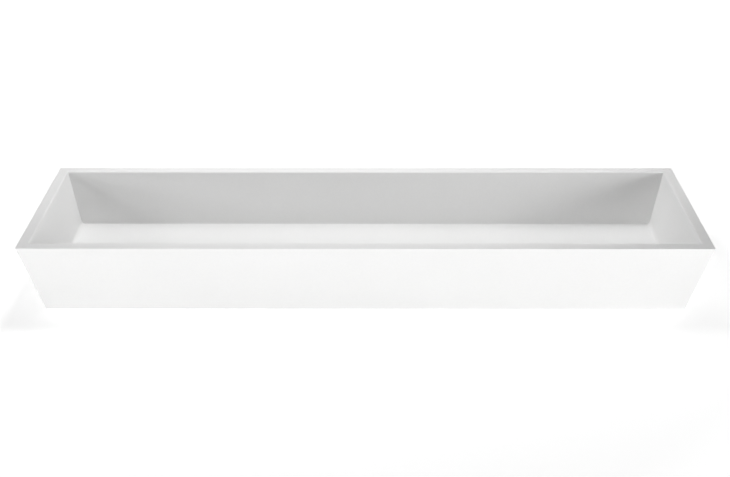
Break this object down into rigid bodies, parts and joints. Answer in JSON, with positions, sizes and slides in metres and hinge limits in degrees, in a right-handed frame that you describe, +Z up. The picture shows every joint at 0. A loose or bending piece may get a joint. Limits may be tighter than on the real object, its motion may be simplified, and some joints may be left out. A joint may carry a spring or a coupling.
{
  "type": "countertop basin",
  "caption": "Long tapered trough basin of bonded solid-surface panels that stands on a countertop, with a push-to-close waste in its floor.",
  "frame": {"origin": "middle of the base, on the plane of the countertop", "axes": "+X along the basin to the right, +Y to the back, +Z up; the front faces -Y"},
  "size_m": [1.1996, 0.3316, 0.1375],
  "materials": {
    "solid_surface": "matte",
    "bearer_board": "matte",
    "chrome": "polished",
    "brass": "satin",
    "black_rubber": "matte",
    "pale_plastic": "satin",
    "spring_steel": "satin"
  },
  "bodies": {
    "basin": {"front_wall": "solid_surface", "back_wall": "solid_surface", "left_wall": "solid_surface", "right_wall": "solid_surface", "floor_panel": "solid_surface", "front_bearer": "bearer_board", "back_bearer": "bearer_board", "left_bearer": "bearer_board", "right_bearer": "bearer_board", "waste_body": "chrome", "flange_washer": "black_rubber", "lower_washer": "black_rubber", "slip_ring": "pale_plastic", "back_nut": "brass", "cartridge_sleeve": "pale_plastic", "cartridge_ring_nut": "brass", "cartridge_cap": "pale_plastic", "latch_pin": "spring_steel", "cartridge_spring": "spring_steel"},
    "plug": {"plunger": "pale_plastic", "plug_lock_nut": "brass", "plug_seal": "black_rubber", "plug_cap": "chrome"}
  },
  "joints": [
    {"name": "plug_lift", "type": "slide", "parent": "basin", "child": "plug", "axis": [0, 0, 1], "range_m": [0, 0.008], "deforming": ["cartridge_spring"]}
  ]
}
